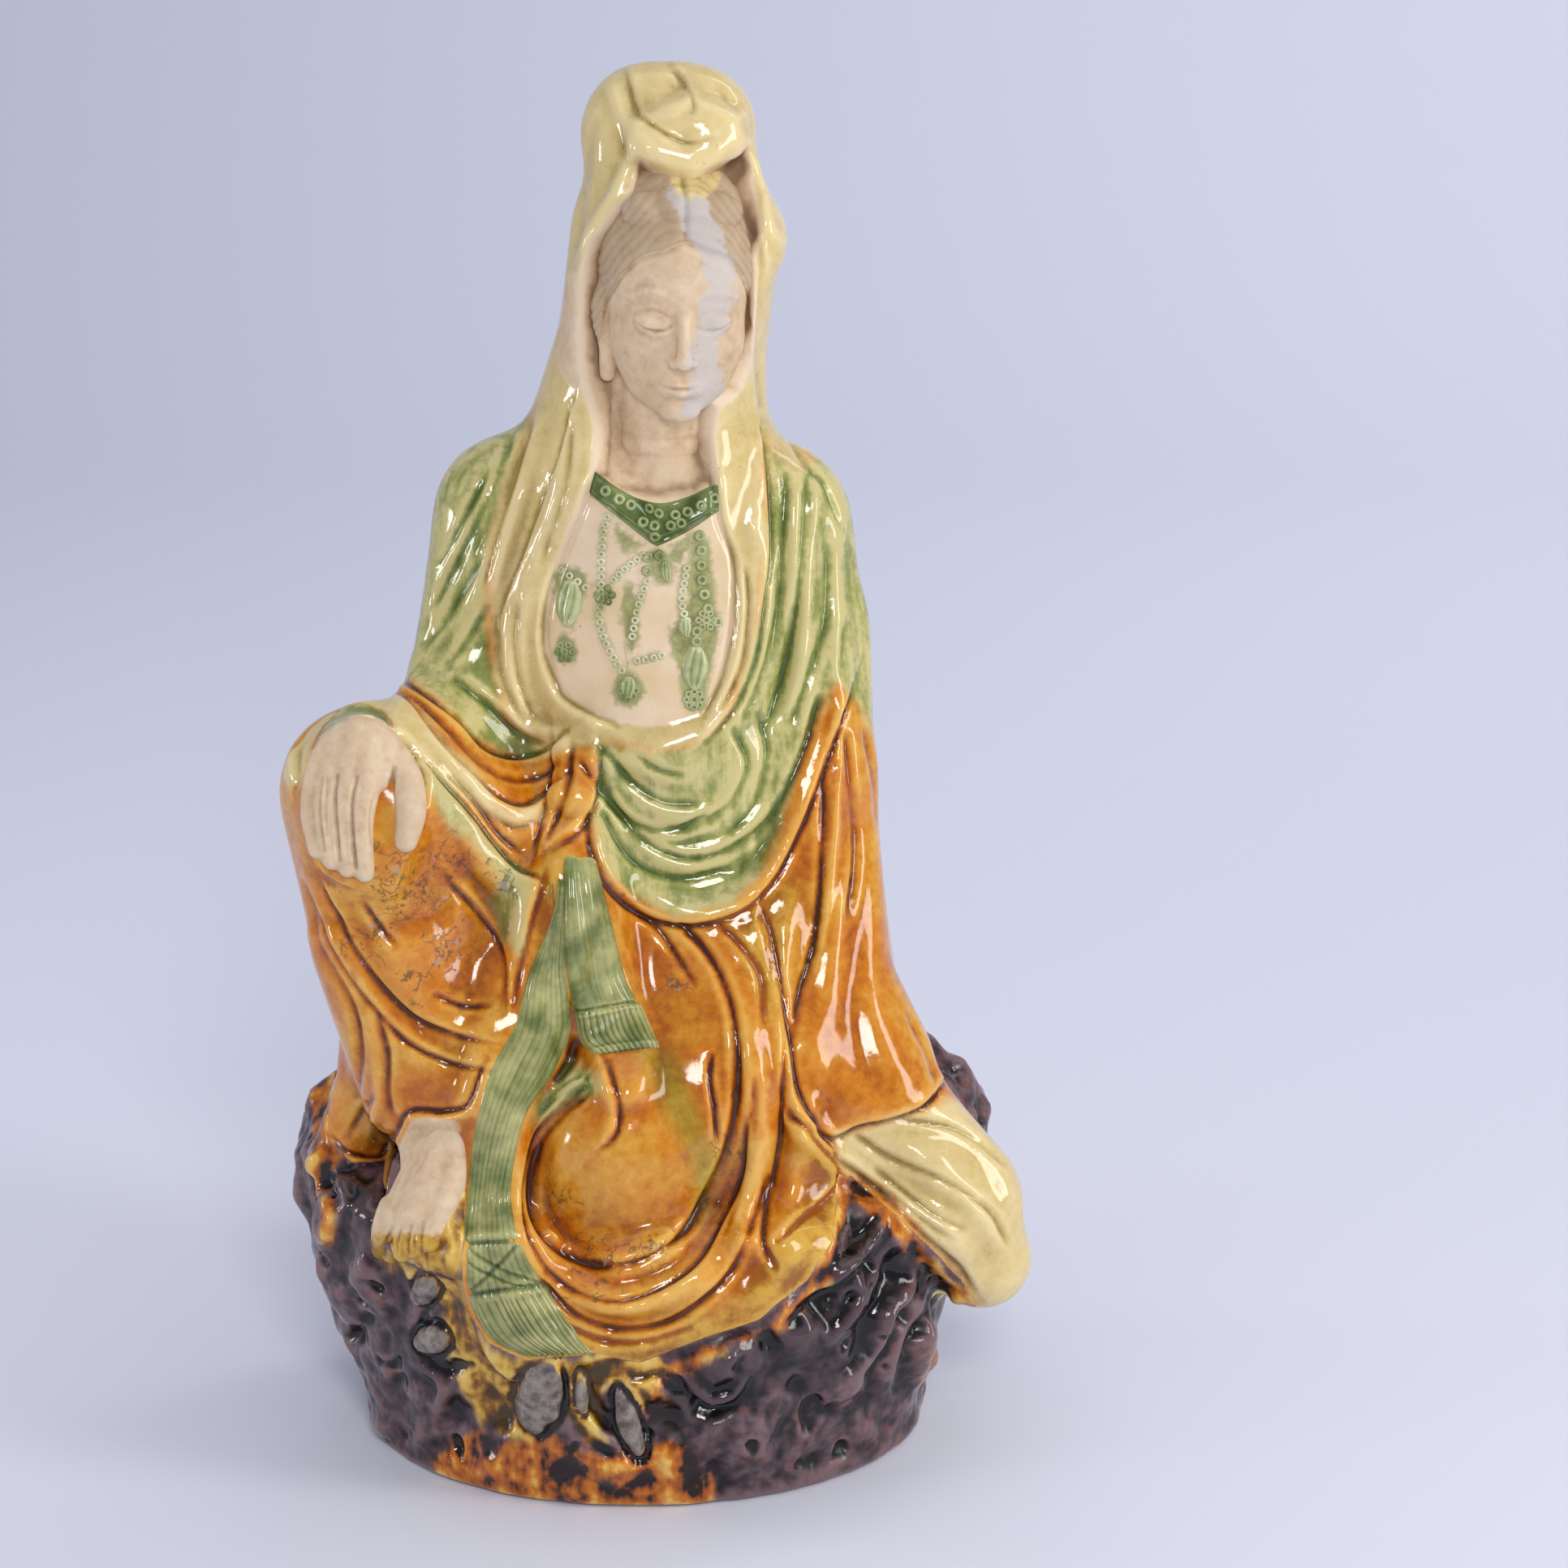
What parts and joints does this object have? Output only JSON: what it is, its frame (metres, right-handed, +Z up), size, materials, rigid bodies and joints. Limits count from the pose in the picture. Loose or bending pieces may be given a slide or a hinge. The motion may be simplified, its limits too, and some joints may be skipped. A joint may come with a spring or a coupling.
{
  "type": "glazed earthenware immortal figure",
  "caption": "Veiled figure seated at ease on a rock plinth, one knee raised, in cream, green, amber and dark sancai glaze with bare clay face, hand and foot.",
  "frame": {"origin": "middle of the flat underside of the rock, on the surface that the figure stands on", "axes": "+Z up, the figure looks towards -Y, its raised knee is on the -X side, which is the left side seen from the front"},
  "size_m": [0.229, 0.1626, 0.4208],
  "materials": {
    "sancai_glaze": "glossy lead glaze, amber, green, cream and dark brown, run and pooled",
    "bare_clay": "matte unglazed buff earthenware with dirt in the hollows"
  },
  "bodies": {
    "root": {"glazed_figure": "sancai_glaze"}
  },
  "joints": []
}
